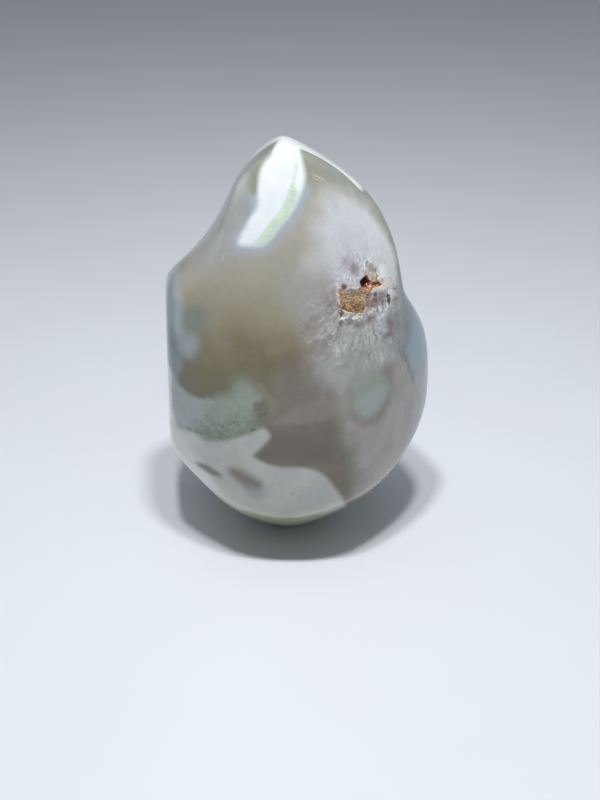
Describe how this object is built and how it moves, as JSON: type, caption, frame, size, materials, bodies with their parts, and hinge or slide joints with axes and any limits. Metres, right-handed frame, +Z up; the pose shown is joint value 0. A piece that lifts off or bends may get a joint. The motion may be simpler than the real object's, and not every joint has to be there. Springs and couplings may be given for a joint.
{
  "type": "orca agate freeform",
  "caption": "Flame-shaped freeform of polished white and grey-brown orca agate with a hollow-ground upper side and a small crystal-lined vug, standing on a small flat spot.",
  "frame": {"origin": "under the middle of the stone's bounding box, on the surface that it stands on", "axes": "+Z up to the tip, -Y the front face with the vug, +X the stone's right as seen from the front"},
  "size_m": [0.0628, 0.0458, 0.0954],
  "materials": {
    "agate": "mirror polish, waxy and slightly translucent, with white, grey-brown and pale green patches",
    "crystals": "small bright crystal faces, stained golden brown by iron"
  },
  "bodies": {
    "root": {"agate_stone": "agate", "vug_crystal_crust": "crystals"}
  },
  "joints": []
}
